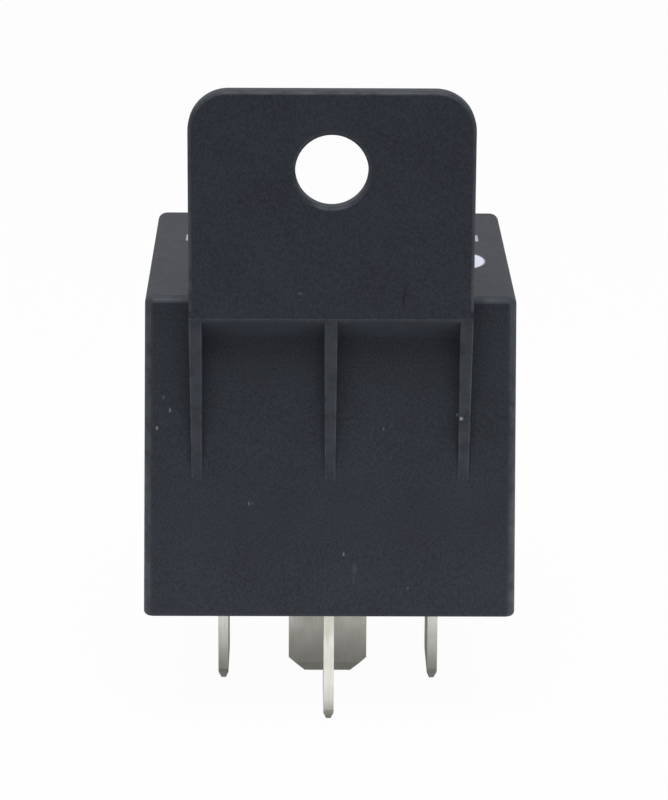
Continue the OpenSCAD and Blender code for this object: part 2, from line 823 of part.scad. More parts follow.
// The spring's centre line: a hook under the yoke's lug, the coils, and a hook over the tail
spring_r = (spring_d - spring_wire) / 2;
coil_bottom = lug_z + lug_t + 0.7;
coil_top = hinge_z - 0.8;
hook_clear = spring_wire / 2 + fit_gap;
hook_rise = 0.15;
turn_steps = 12;
spring_path = concat(
    through([
        [0, spring_y + hook_reach, lug_z - hook_clear],
        [0, spring_y + hook_back, lug_z - hook_clear],
        [0, spring_y, lug_z + hook_rise],
        [0, spring_y, lug_z + lug_t]
    ], 3),
    [for (i = [0 : turn_steps * spring_turns]) let (a = 360 * i / turn_steps) [
        spring_r * sin(a),
        spring_y - spring_r * cos(a),
        coil_bottom + (coil_top - coil_bottom) * i / (turn_steps * spring_turns)
    ]],
    through([
        [0, spring_y, hinge_z - spring_wire],
        lift([0, spring_y, armature_z + tail_t - hook_rise]),
        lift([0, spring_y + hook_back, armature_z + tail_t + hook_clear]),
        lift([0, spring_y + hook_reach, armature_z + tail_t + hook_clear])
    ], 3)
);

module return_spring() {
    color(steel) wire(spring_path, spring_wire, 6);
}

// The braid: it lies on the leaf, passes over the hinge and ends on the yoke's back
leaf_top = leaf_z + leaf_t;
on_leaf = braid_d / 2 + fit_gap;
on_yoke = hinge_y - braid_d / 2 - fit_gap;
braid_route = [
    lift([1.95, 6.2, leaf_top + on_leaf]),
    lift([2, 3.4, leaf_top + on_leaf]),
    lift([2.1, -0.5, leaf_top + on_leaf]),
    lift([2.5, -5, leaf_top + on_leaf + 0.2]),
    lift([3, -8.2, leaf_top + on_leaf + 0.5]),
    [3.2, on_yoke - 0.5, hinge_z + 1.9],
    [3.3, on_yoke - 0.8, hinge_z - 0.6],
    [3.3, on_yoke - 0.5, hinge_z - 3.2],
    [3.3, on_yoke, hinge_z - 5.4],
    [3.3, on_yoke, hinge_z - 8.2]
];

module braid() {
    color(copper) wire(through(braid_route, 4), braid_d, 10);
}

cover();
base();
terminal_30();
terminal_85();
terminal_86();
terminal_87();
terminal_87a();
yoke();
core();
bobbin();
winding();
coil_lead_start();
coil_lead_finish();
resistor();
no_contact();
nc_contact();
armature();
contact_spring();
armature_rivets();
moving_contact();
return_spring();
braid();
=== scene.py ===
import math

import bpy
from mathutils import Euler, Matrix, Vector


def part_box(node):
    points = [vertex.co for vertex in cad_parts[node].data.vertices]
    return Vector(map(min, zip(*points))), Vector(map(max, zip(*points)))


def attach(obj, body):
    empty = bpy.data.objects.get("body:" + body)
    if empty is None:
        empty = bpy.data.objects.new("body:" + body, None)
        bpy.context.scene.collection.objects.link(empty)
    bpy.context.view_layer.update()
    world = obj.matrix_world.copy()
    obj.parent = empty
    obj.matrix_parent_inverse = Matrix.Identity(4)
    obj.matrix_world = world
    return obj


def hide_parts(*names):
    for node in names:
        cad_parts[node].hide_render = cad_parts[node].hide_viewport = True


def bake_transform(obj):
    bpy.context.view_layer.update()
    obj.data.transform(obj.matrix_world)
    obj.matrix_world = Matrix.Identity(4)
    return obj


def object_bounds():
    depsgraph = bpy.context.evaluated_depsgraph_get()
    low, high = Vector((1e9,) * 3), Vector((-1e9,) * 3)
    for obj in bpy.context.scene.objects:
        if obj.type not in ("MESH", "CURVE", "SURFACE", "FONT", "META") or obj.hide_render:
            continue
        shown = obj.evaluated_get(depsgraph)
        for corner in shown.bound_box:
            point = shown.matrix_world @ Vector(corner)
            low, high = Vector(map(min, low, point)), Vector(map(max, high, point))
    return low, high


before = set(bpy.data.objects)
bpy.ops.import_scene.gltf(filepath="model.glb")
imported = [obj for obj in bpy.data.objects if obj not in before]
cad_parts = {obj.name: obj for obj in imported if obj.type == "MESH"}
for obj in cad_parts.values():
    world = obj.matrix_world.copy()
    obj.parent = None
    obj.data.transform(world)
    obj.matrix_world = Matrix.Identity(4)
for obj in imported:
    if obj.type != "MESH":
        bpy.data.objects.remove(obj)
cad_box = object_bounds()

# A plug-in changeover relay for a vehicle, finished and lit. The frame is in metres, with +Z up
# and the bracket facing -Y. The finishes' patterns and the points on wires are in millimetres.

# ---- Camera ----
# A long lens straight in front of the bracket, a little above the relay and turned down to it.
CAMERA_PLACE = (-0.00233, -0.27092, 0.0929)
CAMERA_LENS, FILM_WIDTH, NEAREST_SEEN = 159.74, 36, 0.01
LOOKS_DOWN, LOOKS_RIGHT, LEANS = math.radians(16.39), math.radians(0.58), math.radians(0.33)

camera_data = bpy.data.cameras.new("camera")
camera_data.sensor_width = FILM_WIDTH
camera_data.lens = CAMERA_LENS
camera_data.clip_start = NEAREST_SEEN
camera = bpy.data.objects.new("camera", camera_data)
camera.location = CAMERA_PLACE
camera_turn = Euler((math.pi / 2 - LOOKS_DOWN, 0, -LOOKS_RIGHT)).to_matrix()
camera.rotation_euler = (camera_turn @ Matrix.Rotation(LEANS, 3, "Z")).to_euler()
bpy.context.scene.collection.objects.link(camera)
bpy.context.scene.camera = camera

# ---- Light ----
# A large soft box stands high in front of the relay, and small ones over it, behind it and at its
# sides. Glowing cards on the table throw light up from its foot. The world is dim as a lamp, and
# white to the eye, in reflections and through glass.
SURROUND_LIGHT = 0.1
LAMPS = [
    # name, place, aimed at, width, depth, watts
    ("front_box", (0, -0.3, 0.5), (0, 0, 0.02), 0.4, 0.2, 2.3),
    ("over_box", (0, -0.03, 0.2), (0, 0, 0.02), 0.15, 0.12, 0.11),
    ("rear_box", (0, 0.25, 0.4), (0, 0, 0.02), 0.3, 0.2, 0.15),
    ("left_box", (-0.15, -0.06, 0.06), (0, 0, 0.015), 0.12, 0.12, 0.018),
    ("right_box", (0.15, -0.06, 0.06), (0, 0, 0.015), 0.12, 0.12, 0.01),
    ("front_card", (0, -0.035, -0.0094), (0, -0.035, 1), 0.2, 0.04, 0.022),
    ("left_card", (-0.06, 0, -0.0094), (-0.06, 0, 1), 0.08, 0.08, 0.006),
    ("right_card", (0.06, 0, -0.0094), (0.06, 0, 1), 0.08, 0.08, 0.0186),
]


class Wire:
    """An output of a node. Arithmetic on wires adds the Math nodes that work it out."""

    def __init__(self, tree, socket=None):
        self.tree = tree
        self.socket = socket

    @staticmethod
    def pick(sockets, key):
        """The socket at a place in the list, or the one in use that has a name."""
        if isinstance(key, int):
            return sockets[key] if key < len(sockets) else None
        return next(s for s in sockets if s.enabled and key in (s.name, s.identifier))

    def node(self, kind, settings=None, inputs=None, out=0):
        """Adds a node, with its settings first and then a value or a wire for each input."""
        made = self.tree.nodes.new(kind)
        for name, value in (settings or {}).items():
            setattr(made, name, value)
        for name, value in (inputs or {}).items():
            socket = self.pick(made.inputs, name)
            if isinstance(value, Wire):
                self.tree.links.new(value.socket, socket)
            else:
                socket.default_value = value
        return Wire(self.tree, self.pick(made.outputs, out))

    def beside(self, name):
        """Another output of the same node."""
        return Wire(self.tree, self.pick(self.socket.node.outputs, name))

    def maths(self, operation, first, second=0.0):
        """A Math node on values or wires of this wire's tree."""
        return self.node("ShaderNodeMath", {"operation": operation}, {0: first, 1: second})

    def __add__(self, other):
        return self.maths("ADD", self, other)

    __radd__ = __add__

    def __sub__(self, other):
        return self.maths("SUBTRACT", self, other)

    def __rsub__(self, other):
        return self.maths("SUBTRACT", other, self)

    def __mul__(self, other):
        return self.maths("MULTIPLY", self, other)

    __rmul__ = __mul__

    def __truediv__(self, other):
        return self.maths("DIVIDE", self, other)

    def size(self):
        """The number without its sign."""
        return self.maths("ABSOLUTE", self)

    def between(self, low, high):
        """A number that runs from low to high as this wire runs from 0 to 1."""
        return low + (high - low) * self

    def step(self, start, end):
        """A soft step: 0 at start, 1 at end."""
        return self.node(
            "ShaderNodeMapRange", {"interpolation_type": "SMOOTHSTEP"},
            {"Value": self, "From Min": start, "From Max": end})

    def axis(self, name):
        """One part of a vector: X, Y or Z."""
        return self.node("ShaderNodeSeparateXYZ", inputs={"Vector": self}, out=name)

    def blend(self, low, high):
        """The colour that this wire picks between two colours."""
        return self.node(
            "ShaderNodeMix", {"data_type": "RGBA"},
            {"Factor": self, "A": low if isinstance(low, Wire) else (*low, 1),
             "B": high if isinstance(high, Wire) else (*high, 1)}, "Result")

    def joined(self, other):
        """Two geometries as one."""
        both = self.node("GeometryNodeJoinGeometry", inputs={"Geometry": self})
        self.tree.links.new(other.socket, both.socket.node.inputs[0])
        return both


world = bpy.data.worlds.new("surround")
bpy.context.scene.world = world
world.use_nodes = True
world.node_tree.nodes.clear()
ray = Wire(world.node_tree).node("ShaderNodeLightPath", out="Is Camera Ray")
seen = (ray + ray.beside("Is Glossy Ray") + ray.beside("Is Transmission Ray")).step(0, 1)
surround = ray.node("ShaderNodeBackground", inputs={
    "Color": (1, 1, 1, 1), "Strength": seen.between(SURROUND_LIGHT, 1)})
surround.node("ShaderNodeOutputWorld", inputs={"Surface": surround})

for name, place, target, width, depth, watts in LAMPS:
    lamp_data = bpy.data.lights.new(name, "AREA")
    lamp_data.shape = "RECTANGLE"
    lamp_data.size, lamp_data.size_y = width, depth
    lamp_data.energy = watts
    lamp = bpy.data.objects.new(name, lamp_data)
    lamp.location = place
    lamp.rotation_euler = (Vector(target) - Vector(place)).to_track_quat("-Z", "Y").to_euler()
    lamp.visible_camera = False
    bpy.context.scene.collection.objects.link(lamp)

bpy.context.scene.view_settings.view_transform = "Standard"

# ---- Table ----
# A plain white table top at the blades' tips. It takes the relay's shadow, and glows to the eye and
# a little in reflections, so that the shadow is faint.
TABLE_RADIUS, TABLE_SIDES = 3.0, 64
TABLE_WHITE = (0.8, 0.8, 0.8, 1)
GLOW_TO_THE_EYE, GLOW_IN_REFLECTIONS = 0.97, 0.2

table_mesh = bpy.data.meshes.new("table")
table_angles = (math.tau * i / TABLE_SIDES for i in range(TABLE_SIDES))
table_rim = [
    (TABLE_RADIUS * math.cos(a), TABLE_RADIUS * math.sin(a), cad_box[0].z) for a in table_angles]
table_mesh.from_pydata(table_rim, [], [range(TABLE_SIDES)])
table = bpy.data.objects.new("table", table_mesh)
bpy.context.scene.collection.objects.link(table)

table_paint = bpy.data.materials.new("white_table")
table_paint.use_nodes = True
table_paint.node_tree.nodes.clear()
ray = Wire(table_paint.node_tree).node("ShaderNodeLightPath", out="Is Camera Ray")
mirrored = ray.beside("Is Glossy Ray") + ray.beside("Is Transmission Ray")
lit = ray.node("ShaderNodeBsdfDiffuse", inputs={"Color": TABLE_WHITE})
glow = ray.node("ShaderNodeEmission", inputs={"Strength": 1})
table_surface = ray.node("ShaderNodeMixShader", inputs={
    0: GLOW_TO_THE_EYE * ray + GLOW_IN_REFLECTIONS * mirrored, 1: lit, 2: glow})
table_surface.node("ShaderNodeOutputMaterial", inputs={"Surface": table_surface})
table_mesh.materials.append(table_paint)

# ---- Terminals ----
# Five blades stamped from brass strip, tin-plated, and pressed into the base. The plating is satin,
# clouded by handling, with the strip's rolling lines along each blade.
TIN_LIGHT, TIN_DARK = (0.575, 0.571, 0.54), (0.395, 0.381, 0.328)
TIN_ROUGHNESS = (0.3, 0.42)
LINES_IN_TIN, CLOUDS_IN_TIN = 0.35, 0.65
TIN_DULLING = (0.2, 0.8)
MM_PER_METRE = 1000


def new_finish(name):
    """A bare material, and the place on the piece in millimetres as a wire to start from."""
    material = bpy.data.materials.new(name)
    material.use_nodes = True
    material.node_tree.nodes.clear()
    place = Wire(material.node_tree).node("ShaderNodeTexCoord", out="Object")
    place = place.node(
        "ShaderNodeVectorMath", {"operation": "SCALE"}, {0: place, "Scale": MM_PER_METRE})
    return material, place


def stretched(place, along_x, along_y, along_z):
    """The place, scaled along each axis: a pattern is drawn out where the number is small."""
    return place.node(
        "ShaderNodeVectorMath", {"operation": "MULTIPLY"},
        {0: place, 1: (along_x, along_y, along_z)})


def mottle(place, per_mm, detail=2):
    """Soft random patches, about per_mm of them to a millimetre, from 0 to 1."""
    return place.node(
        "ShaderNodeTexNoise", inputs={"Vector": place, "Scale": per_mm, "Detail": detail})


def relief(height, depth_mm, strength=1):
    """The surface's normal over a relief of a given depth."""
    return height.node("ShaderNodeBump", inputs={
        "Height": height, "Distance": depth_mm / MM_PER_METRE, "Strength": strength})


def surface(colour, roughness, normal, constants):
    """Closes a finish: what varies is wired in, and what doesn't is set on the shader itself."""
    shader = colour.node("ShaderNodeBsdfPrincipled", inputs={
        "Base Color": colour, "Roughness": roughness, "Normal": normal, **constants})
    shader.node("ShaderNodeOutputMaterial", inputs={"Surface": shader})


def put_on(material, slot, *nodes):
    """Gives pieces of the construction their finish."""
    for name in nodes:
        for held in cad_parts[name].material_slots:
            held.material = material


tin, place = new_finish("tin_plate")
rolling = mottle(stretched(place, along_x=9, along_y=9, along_z=0.5), per_mm=1, detail=3)
clouds = mottle(place, per_mm=0.4)
dulled = (LINES_IN_TIN * rolling + CLOUDS_IN_TIN * clouds).step(*TIN_DULLING)
surface(
    dulled.blend(TIN_LIGHT, TIN_DARK), dulled.between(*TIN_ROUGHNESS),
    relief(rolling, depth_mm=0.004), {"Metallic": 1})
put_on(
    tin, "terminal_metal",
    "terminal_30", "terminal_85", "terminal_86", "terminal_87", "terminal_87a")

# ---- Base ----
# The carrier that holds the blades, with a collar round each, and closes the cover. It is moulded
# in black plastic, smoother than the cover's, and snaps in on two wedges.
BASE_LIGHT, BASE_DARK = (0.032, 0.034, 0.038), (0.022, 0.024, 0.027)
BASE_ROUGHNESS = (0.42, 0.54)

base_plastic, place = new_finish("base_plastic")
grain = mottle(place, per_mm=3)
surface(
    mottle(place, per_mm=0.4).blend(BASE_DARK, BASE_LIGHT), grain.between(*BASE_ROUGHNESS),
    relief(grain, depth_mm=0.006), {})
put_on(base_plastic, "base_plastic", "base")

# ---- Yoke, core and armature ----
# The iron of the magnet: a bent yoke, a core riveted into its foot, and the armature that rocks on
# its top edge and carries the leaf on two rivets. All of it is soft iron, zinc-plated after
# stamping: pale grey, with the faint spangle and the scour lines of the plating.
ZINC_LIGHT, ZINC_DARK = (0.62, 0.62, 0.6), (0.44, 0.45, 0.44)
ZINC_ROUGHNESS = (0.28, 0.44)
SPANGLE_IN_ZINC, SCOUR_IN_ZINC = 0.4, 0.6
FLAKES_PER_MM = 2.2

iron, place = new_finish("soft_iron")
spangle = place.node(
    "ShaderNodeTexVoronoi", inputs={"Vector": place, "Scale": FLAKES_PER_MM}, out="Color")
flake = spangle.node("ShaderNodeSeparateColor", inputs={"Color": spangle}, out="Red")
scour = mottle(stretched(place, along_x=1.2, along_y=12, along_z=12), per_mm=1, detail=3)
surface(
    (SPANGLE_IN_ZINC * flake + SCOUR_IN_ZINC * scour).blend(ZINC_DARK, ZINC_LIGHT),
    scour.between(*ZINC_ROUGHNESS), relief(scour, depth_mm=0.004), {"Metallic": 1})
put_on(iron, "soft_iron", "yoke", "core", "armature", "armature_rivets")

# ---- Bobbin ----
# The reel of the coil, moulded in natural nylon and pushed over the core before it is riveted. The
# nylon is cream, a little uneven in tone, and half matt.
NYLON_LIGHT, NYLON_DARK = (0.72, 0.68, 0.55), (0.6, 0.55, 0.42)
NYLON_ROUGHNESS = (0.4, 0.55)

nylon, place = new_finish("natural_nylon")
grain = mottle(place, per_mm=4)
surface(
    mottle(place, per_mm=0.5).blend(NYLON_DARK, NYLON_LIGHT), grain.between(*NYLON_ROUGHNESS),
    relief(grain, depth_mm=0.004), {})
put_on(nylon, "bobbin_plastic", "bobbin")

# ---- Winding ----
# Enamelled copper wire, laid on the reel turn by turn. The outer layer shows as one long helix
# over a sleeve, which stands for the layers below it. A lead from each end of the wire is
# soldered round the post of a coil terminal.
COPPER_LIGHT, COPPER_DARK = (0.62, 0.24, 0.1), (0.42, 0.13, 0.05)
ENAMEL_ROUGHNESS = (0.22, 0.37)
WINDING_TURNS, TURN_STEPS, WIRE_SIDES = 16, 48, 8
WIRE_PLAY = 0.97  # a wire's thickness as a part of the pitch
WINDING_BORE = 0.00374
SLEEVE_SIDES, SLEEVE_SINK = 96, 1.05  # the sink is in wire radii, from the middle of the wire


def new_shape(name, sizes):
    """A tree of geometry nodes with an input for each size and for the finish."""
    tree = bpy.data.node_groups.new(name, "GeometryNodeTree")
    tree.interface.new_socket("Start", in_out="INPUT", socket_type="NodeSocketGeometry")
    for size, kind in sizes.items():
        tree.interface.new_socket(size, in_out="INPUT", socket_type="NodeSocket" + kind)
    tree.interface.new_socket("Finish", in_out="INPUT", socket_type="NodeSocketMaterial")
    tree.interface.new_socket("Shape", in_out="OUTPUT", socket_type="NodeSocketGeometry")
    return tree, Wire(tree).node("NodeGroupInput")


def end_shape(shape, given):
    """Ends a tree: its instances become real faces, in the finish that it was given."""
    real = shape.node("GeometryNodeRealizeInstances", inputs={0: shape})
    finished = real.node("GeometryNodeSetMaterial", inputs={
        "Geometry": real, "Material": given.beside("Finish")})
    finished.node("NodeGroupOutput", inputs={"Shape": finished})


def make_piece(name, tree, sizes, start=None):
    """Runs a tree, on a starting mesh if it needs one, and keeps the result as a plain mesh."""
    piece = bpy.data.objects.new(name, start or bpy.data.meshes.new(name))
    bpy.context.scene.collection.objects.link(piece)
    modifier = piece.modifiers.new(name, "NODES")
    modifier.node_group = tree
    for socket in tree.interface.items_tree:
        if socket.name in sizes:
            modifier[socket.identifier] = sizes[socket.name]
    evaluated = piece.evaluated_get(bpy.context.evaluated_depsgraph_get())
    made = bpy.data.meshes.new_from_object(evaluated)
    piece.modifiers.clear()
    piece.data = made
    made.materials.clear()
    made.materials.append(sizes["Finish"])
    made.polygons.foreach_set("material_index", [0] * len(made.polygons))
    return piece


copper, place = new_finish("enamelled_copper")
enamel = mottle(place, per_mm=1.5)
surface(
    enamel.blend(COPPER_DARK, COPPER_LIGHT), enamel.between(*ENAMEL_ROUGHNESS),
    relief(mottle(place, per_mm=9), depth_mm=0.003),
    {"Metallic": 0.9, "Coat Weight": 0.5, "Coat Roughness": 0.15})
put_on(copper, "copper_wire", "coil_lead_start", "coil_lead_finish")

winding_shape, given = new_shape("wound_layer", {
    "Turns": "Float", "Wire Radius": "Float", "Layer Radius": "Float", "Bore Radius": "Float",
    "Height": "Float", "Place": "Vector"})
wire_radius, layer_radius = given.beside("Wire Radius"), given.beside("Layer Radius")
bore, height = given.beside("Bore Radius"), given.beside("Height")
helix = given.node("GeometryNodeCurveSpiral", inputs={
    "Resolution": TURN_STEPS, "Rotations": given.beside("Turns") - 1, "Start Radius": layer_radius,
    "End Radius": layer_radius, "Height": height - 2 * wire_radius})
round_wire = given.node("GeometryNodeCurvePrimitiveCircle", inputs={
    "Resolution": WIRE_SIDES, "Radius": wire_radius})
laid = given.node("GeometryNodeCurveToMesh", inputs={
    "Curve": helix, "Profile Curve": round_wire, "Fill Caps": True})
raised = laid.node("ShaderNodeCombineXYZ", inputs={"Z": wire_radius})
laid = laid.node("GeometryNodeTransform", inputs={"Geometry": laid, "Translation": raised})
sleeve_out = layer_radius - wire_radius * SLEEVE_SINK
sleeve_line = given.node("GeometryNodeCurvePrimitiveCircle", inputs={
    "Resolution": SLEEVE_SIDES, "Radius": (sleeve_out + bore) * 0.5})
sleeve_wall = given.node("GeometryNodeCurvePrimitiveQuadrilateral", inputs={
    "Width": sleeve_out - bore, "Height": height})
sleeve = given.node("GeometryNodeCurveToMesh", inputs={
    "Curve": sleeve_line, "Profile Curve": sleeve_wall})
halfway = given.node("ShaderNodeCombineXYZ", inputs={"Z": height * 0.5})
sleeve = given.node("GeometryNodeTransform", inputs={
    "Geometry": sleeve, "Translation": halfway})
layer = laid.joined(sleeve)
layer = layer.node("GeometryNodeTransform", inputs={
    "Geometry": layer, "Translation": given.beside("Place")})
end_shape(layer, given)

foot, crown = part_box("winding")
winding_height = crown.z - foot.z
wire_size = winding_height / WINDING_TURNS / 2 * WIRE_PLAY
winding = make_piece("wound_coil", winding_shape, {
    "Turns": WINDING_TURNS, "Wire Radius": wire_size,
    "Layer Radius": (crown.x - foot.x) / 2 - wire_size, "Bore Radius": WINDING_BORE,
    "Height": winding_height, "Place": (0, (foot.y + crown.y) / 2, foot.z), "Finish": copper})
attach(winding, "relay")
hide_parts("winding")

# ---- Resistor ----
# A small lacquered body across the coil, which takes up the coil's voltage peak. Its end caps are
# domed under the lacquer, and its tinned leads are soldered to both coil terminals.
LACQUER, LEAD_TIN = (0.1, 0.3, 0.42), (0.66, 0.65, 0.6)
LACQUER_ROUGHNESS = (0.25, 0.35)
LACQUER_END = (3.12, 3.2)

lacquer, place = new_finish("resistor_lacquer")
on_lead = place.axis("X").size().step(*LACQUER_END)
surface(
    on_lead.blend(LACQUER, LEAD_TIN), mottle(place, per_mm=3).between(*LACQUER_ROUGHNESS),
    relief(mottle(place, per_mm=6), depth_mm=0.004), {"Metallic": on_lead})
put_on(lacquer, "resistor_body", "resistor")

# ---- Contacts and leaf ----
# Silver-alloy rivets, upset in the fixed strips and in a leaf of spring bronze. The leaf is stamped
# with a slit and riveted to the armature. It shows its rolling lines, and the silver is soft.
SILVER_LIGHT, SILVER_DARK = (0.86, 0.85, 0.82), (0.7, 0.69, 0.66)
SILVER_ROUGHNESS = (0.25, 0.45)
BRONZE_LIGHT, BRONZE_DARK = (0.7, 0.47, 0.24), (0.55, 0.34, 0.16)
BRONZE_ROUGHNESS = (0.25, 0.4)

silver, place = new_finish("contact_silver")
struck = mottle(place, per_mm=3)
surface(
    struck.blend(SILVER_DARK, SILVER_LIGHT), struck.between(*SILVER_ROUGHNESS),
    relief(mottle(place, per_mm=8), depth_mm=0.003), {"Metallic": 1})
put_on(silver, "contact_silver", "no_contact", "nc_contact", "moving_contact")

bronze, place = new_finish("spring_bronze")
rolling = mottle(stretched(place, along_x=12, along_y=0.6, along_z=12), per_mm=1, detail=3)
surface(
    rolling.blend(BRONZE_DARK, BRONZE_LIGHT), rolling.between(*BRONZE_ROUGHNESS),
    relief(rolling, depth_mm=0.003), {"Metallic": 1})
put_on(bronze, "spring_bronze", "contact_spring")

# ---- Return spring ----
# A steel wire wound cold into close turns, with a hook at each end: one goes through the yoke's
# lug, the other over the armature's tail. It pulls the armature open.
SPRING_LIGHT, SPRING_DARK = (0.6, 0.6, 0.6), (0.4, 0.4, 0.41)
SPRING_ROUGHNESS = (0.25, 0.4)
HINGE = (0, -9.95, 18.2)
ARMATURE_OPEN = math.radians(3)
SPRING_WIRE, SPRING_RADIUS, SPRING_TURNS = 0.35, 0.725, 13
BEHIND_HINGE = 1.2
SPRING_Y = HINGE[1] - BEHIND_HINGE
SPRING_FOOT, SPRING_HEAD = 10.1, 17.4
HOOK_REACH = 0.9
HOOK_IN_LUG, LUG_BEND, LUG_NECK = 8.375, 8.75, 9.4
TAIL_NECK, TAIL_BEND, HOOK_ON_TAIL = 17.85, 18.9, 19.275
POINTS_IN_TURN, POINTS_IN_HOOK, STRAND_SIDES = 24, 6, 8


def lifted(x, y, z):
    """Where the open armature holds a point that is given for the closed one."""
    y, z = y - HINGE[1], z - HINGE[2]
    return (x, HINGE[1] + y * math.cos(ARMATURE_OPEN) - z * math.sin(ARMATURE_OPEN),
            HINGE[2] + y * math.sin(ARMATURE_OPEN) + z * math.cos(ARMATURE_OPEN))


def through(points, steps):
    """A Catmull-Rom curve through points, with a number of steps from each to the next."""
    last = len(points) - 1
    curve = []
    for i in range(last):
        a, b, c, d = (Vector(points[min(max(i + n, 0), last)]) for n in (-1, 0, 1, 2))
        for u in (s / steps for s in range(steps)):
            curve.append((2 * b + (c - a) * u + (2 * a - 5 * b + 4 * c - d) * u ** 2
                          + (3 * b - a - 3 * c + d) * u ** 3) / 2)
    return curve + [Vector(points[last])]


def path_mesh(name, points):
    """A line of edges through points in millimetres."""
    mesh = bpy.data.meshes.new(name)
    mesh.from_pydata(
        [Vector(p) / MM_PER_METRE for p in points],
        [(i, i + 1) for i in range(len(points) - 1)], [])
    return mesh


strand_shape, given = new_shape("laid_strands", {
    "Strands": "Int", "Strand Radius": "Float", "Lay Radius": "Float", "Twist": "Float"})
count, lay_radius, twist = (given.beside(s) for s in ("Strands", "Lay Radius", "Twist"))
line = given.node("GeometryNodeMeshToCurve", inputs={"Mesh": given})
along = given.node("GeometryNodeSplineParameter", out="Length")
angle = given.node("GeometryNodeInputIndex") * math.tau / count
ring = given.node("ShaderNodeCombineXYZ", inputs={
    "X": lay_radius * angle.maths("COSINE", angle), "Y": lay_radius * angle.maths("SINE", angle)})
spots = given.node("GeometryNodePoints", inputs={"Count": count, "Position": ring})
strand = given.node("GeometryNodeCurvePrimitiveCircle", inputs={
    "Resolution": STRAND_SIDES, "Radius": given.beside("Strand Radius")})
bundle = given.node("GeometryNodeInstanceOnPoints", inputs={"Points": spots, "Instance": strand})
bundle = given.node("GeometryNodeRealizeInstances", inputs={0: bundle})
swept = []
for way in (1, -1):
    turned = given.node("GeometryNodeSetCurveTilt", inputs={
        "Curve": line, "Tilt": along * twist * way})
    swept.append(given.node("GeometryNodeCurveToMesh", inputs={
        "Curve": turned, "Profile Curve": bundle, "Fill Caps": True}))
crossed = given.node(
    "FunctionNodeCompare", {"operation": "GREATER_THAN"}, {"A": twist, "B": 0.0})
second = given.node(
    "GeometryNodeSwitch", {"input_type": "GEOMETRY"}, {"Switch": crossed, "True": swept[1]})
woven = swept[0].joined(second)
woven = woven.node("GeometryNodeSetShadeSmooth", inputs={"Geometry": woven, "Shade Smooth": True})
end_shape(woven, given)

spring_steel, place = new_finish("spring_steel")
drawn = mottle(place, per_mm=5)
surface(
    drawn.blend(SPRING_DARK, SPRING_LIGHT), drawn.between(*SPRING_ROUGHNESS),
    relief(drawn, depth_mm=0.003), {"Metallic": 1})

lower_hook = through([
    (0, SPRING_Y + HOOK_REACH, HOOK_IN_LUG), (0, SPRING_Y + HOOK_REACH / 2, HOOK_IN_LUG),
    (0, SPRING_Y, LUG_BEND), (0, SPRING_Y, LUG_NECK)], POINTS_IN_HOOK)
turn_angles = (
    math.tau * i / POINTS_IN_TURN for i in range(POINTS_IN_TURN * SPRING_TURNS + 1))
turns = [
    (SPRING_RADIUS * math.sin(a), SPRING_Y - SPRING_RADIUS * math.cos(a),
     SPRING_FOOT + (SPRING_HEAD - SPRING_FOOT) * a / (math.tau * SPRING_TURNS))
    for a in turn_angles]
upper_hook = through([
    (0, SPRING_Y, TAIL_NECK), lifted(0, SPRING_Y, TAIL_BEND),
    lifted(0, SPRING_Y + HOOK_REACH / 2, HOOK_ON_TAIL),
    lifted(0, SPRING_Y + HOOK_REACH, HOOK_ON_TAIL)], POINTS_IN_HOOK)
spring_line = path_mesh("spring_line", [*lower_hook, *turns, *upper_hook])
spring = make_piece("return_spring_wire", strand_shape, {
    "Strands": 1, "Strand Radius": SPRING_WIRE / 2 / MM_PER_METRE, "Lay Radius": 0.0,
    "Twist": 0.0, "Finish": spring_steel}, spring_line)
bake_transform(spring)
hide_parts("return_spring")

# ---- Braid ----
# Eight bare copper strands each way, woven round: the braid carries the contact's current past the
# hinge. It is welded to the leaf, loops over the back of the hinge, and is welded to the yoke.
BARE_LIGHT, BARE_DARK = (0.72, 0.36, 0.2), (0.45, 0.19, 0.09)
BARE_ROUGHNESS = (0.3, 0.5)
BRAID_STRANDS, STRAND_RADIUS, LAY_RADIUS = 8, 0.00012, 0.00037
BRAID_TWIST = 900.0  # radians to a metre
ON_THE_LEAF = [  # given for the closed armature
    (1.95, 6.2, 20.6), (2, 3.4, 20.6), (2.1, -0.5, 20.6), (2.5, -5, 20.8), (3, -8.2, 21.1)]
DOWN_THE_YOKE = [
    (3.2, -11, 20.1), (3.3, -11.3, 17.6), (3.3, -11, 15), (3.3, -10.5, 12.8), (3.3, -10.5, 10)]
POINTS_BETWEEN = 14

bare_copper, place = new_finish("bare_copper")
tarnish = mottle(place, per_mm=1.2, detail=3)
surface(
    tarnish.blend(BARE_DARK, BARE_LIGHT), tarnish.between(*BARE_ROUGHNESS),
    relief(mottle(place, per_mm=9), depth_mm=0.004), {"Metallic": 1})
braid_route = [*(lifted(*point) for point in ON_THE_LEAF), *DOWN_THE_YOKE]
braid = make_piece("copper_braid", strand_shape, {
    "Strands": BRAID_STRANDS, "Strand Radius": STRAND_RADIUS, "Lay Radius": LAY_RADIUS,
    "Twist": BRAID_TWIST, "Finish": bare_copper},
    path_mesh("braid_line", through(braid_route, POINTS_BETWEEN)))
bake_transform(braid)
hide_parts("braid")

